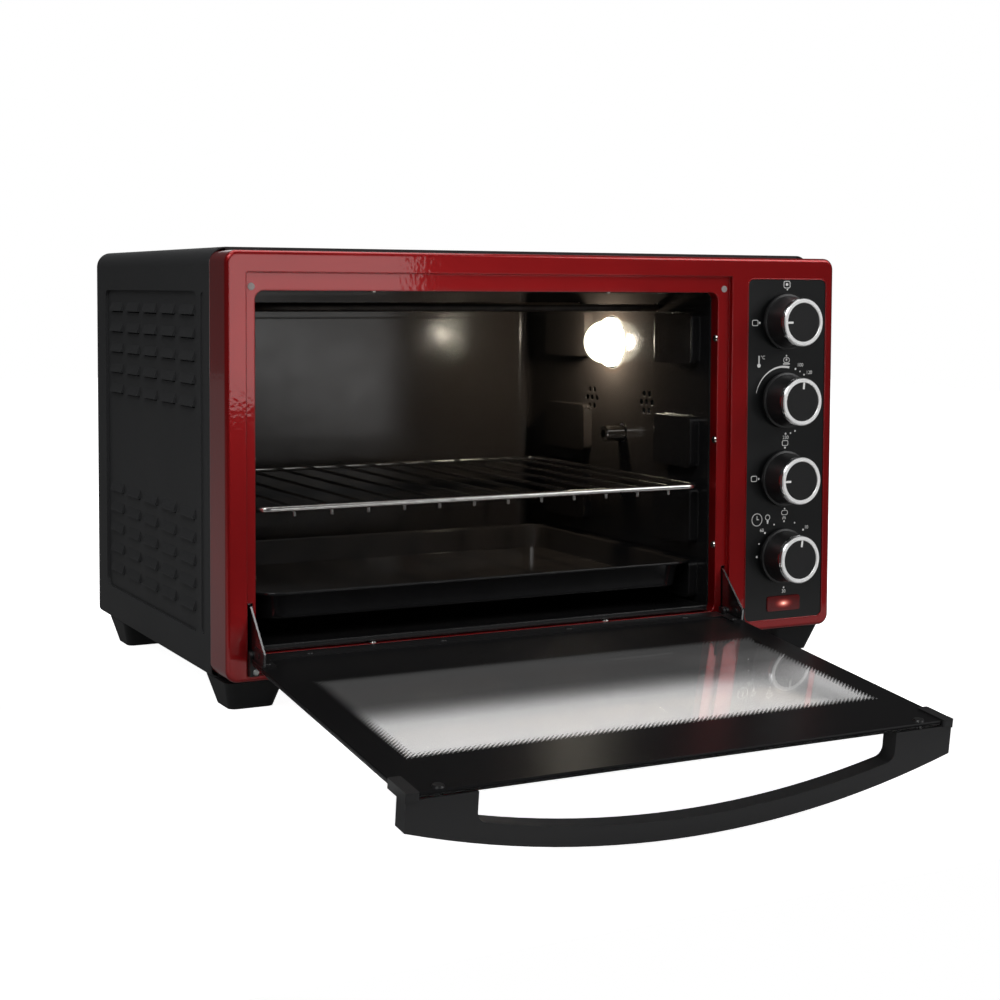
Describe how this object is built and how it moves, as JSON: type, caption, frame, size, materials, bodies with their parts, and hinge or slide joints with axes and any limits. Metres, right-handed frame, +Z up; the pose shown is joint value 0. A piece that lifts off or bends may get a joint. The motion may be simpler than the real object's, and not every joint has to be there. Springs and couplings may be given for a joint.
{
  "type": "mini oven",
  "caption": "Countertop mini oven with an open drop-down glass door, bowed handle, red front frame, round knobs, wire rack and trays.",
  "frame": {"origin": "on the worktop, directly below the middle of the front frame's face", "axes": "+X to the viewer's right along the front, +Y to the back, +Z up; the door opens towards -Y"},
  "size_m": [0.56, 0.6468, 0.3979],
  "materials": {
    "red_paint": "satin powder coat",
    "black_paint": "semi-gloss, lightly textured",
    "enamel": "gloss vitreous enamel",
    "galvanised": "dull zinc coated",
    "spring_steel": "rolled",
    "chrome": "polished",
    "rack_chrome": "bright plated wire",
    "tray_enamel": "gloss enamel",
    "crumb_steel": "satin enamel",
    "heater_steel": "oxidised stainless sheath",
    "ceramic": "unglazed steatite",
    "door_glass": "clear tempered with a printed black border",
    "lamp_glass": "clear heat-resistant",
    "bulb_glass": "clear, lit",
    "black_plastic": "fine-textured",
    "gloss_black": "gloss",
    "switch_case": "moulded, off-white",
    "zinc": "zinc plated",
    "lens": "translucent red, lit",
    "rubber": "soft",
    "motor_steel": "pressed can",
    "impeller": "pressed sheet"
  },
  "bodies": {
    "oven": {"cabinet": "black_paint", "front_frame": "red_paint", "control_panel": "gloss_black", "control_bracket": "galvanised", "function_switch": "switch_case", "thermostat": "zinc", "mode_switch": "switch_case", "timer": "zinc", "indicator_lens": "lens", "indicator_lamp": "switch_case", "liner_plates": "enamel", "liner_back": "enamel", "liner_collar": "enamel", "liner_left": "enamel", "liner_right": "enamel", "heater_top": "heater_steel", "heater_bottom": "heater_steel", "heater_beads": "ceramic", "heater_clips": "galvanised", "lamp_glass": "lamp_glass", "lamp_holder": "galvanised", "lamp_bulb": "bulb_glass", "fan_shroud": "galvanised", "fan_motor": "motor_steel", "spit_motor": "motor_steel", "base_plate": "galvanised", "rear_panel": "black_paint", "cord_gland": "black_plastic", "rear_screws": "zinc", "reveal_screws": "chrome", "feet": "black_plastic", "foot_screws": "zinc", "door_bumpers": "rubber", "hinge_bearings": "black_plastic", "hinge_pins": "zinc", "hinge_screws": "zinc"},
    "door": {"door_glass": "door_glass", "hinge_strip": "black_paint", "door_rivets": "zinc", "door_stays": "spring_steel", "door_handle": "black_plastic", "handle_screws": "black_paint", "corner_clips": "black_plastic"},
    "control_1": {"knob_1": "black_plastic", "knob_1_ring": "chrome", "knob_1_shaft": "zinc"},
    "control_2": {"knob_2": "black_plastic", "knob_2_ring": "chrome", "knob_2_shaft": "zinc"},
    "control_3": {"knob_3": "black_plastic", "knob_3_ring": "chrome", "knob_3_shaft": "zinc"},
    "control_4": {"knob_4": "black_plastic", "knob_4_ring": "chrome", "knob_4_shaft": "zinc"},
    "rack": {"wire_rack": "rack_chrome"},
    "tray": {"baking_tray": "tray_enamel"},
    "crumb_pan": {"crumb_tray": "crumb_steel"},
    "fan": {"fan_impeller": "impeller"},
    "spit_drive": {"spit_socket": "zinc"}
  },
  "joints": [
    {"name": "door_hinge", "type": "hinge", "parent": "oven", "child": "door", "pos_m": [0, 0.002, 0.0427], "axis": [1, 0, 0], "range_deg": [-96.5, 0]},
    {"name": "turn_1", "type": "hinge", "parent": "oven", "child": "control_1", "pos_m": [0.227, 0, 0.293], "axis": [0, 1, 0], "range_deg": [-90, 90]},
    {"name": "turn_2", "type": "hinge", "parent": "oven", "child": "control_2", "pos_m": [0.227, 0, 0.2249], "axis": [0, 1, 0], "range_deg": [-95, 180]},
    {"name": "turn_3", "type": "hinge", "parent": "oven", "child": "control_3", "pos_m": [0.227, 0, 0.1568], "axis": [0, 1, 0], "range_deg": [-90, 90]},
    {"name": "turn_4", "type": "hinge", "parent": "oven", "child": "control_4", "pos_m": [0.227, 0, 0.0887], "axis": [0, 1, 0], "range_deg": [-45, 300]},
    {"name": "rack_slide", "type": "slide", "parent": "oven", "child": "rack", "axis": [0, -1, 0], "range_m": [0, 0.33]},
    {"name": "tray_slide", "type": "slide", "parent": "oven", "child": "tray", "axis": [0, -1, 0], "range_m": [0, 0.32]},
    {"name": "crumb_slide", "type": "slide", "parent": "oven", "child": "crumb_pan", "axis": [0, -1, 0], "range_m": [0, 0.345]},
    {"name": "fan_spin", "type": "hinge", "parent": "oven", "child": "fan", "pos_m": [0.18, 0.157, 0.129], "axis": [1, 0, 0], "continuous": true},
    {"name": "spit_turn", "type": "hinge", "parent": "oven", "child": "spit_drive", "pos_m": [0.16, 0.158, 0.187], "axis": [1, 0, 0], "continuous": true}
  ]
}
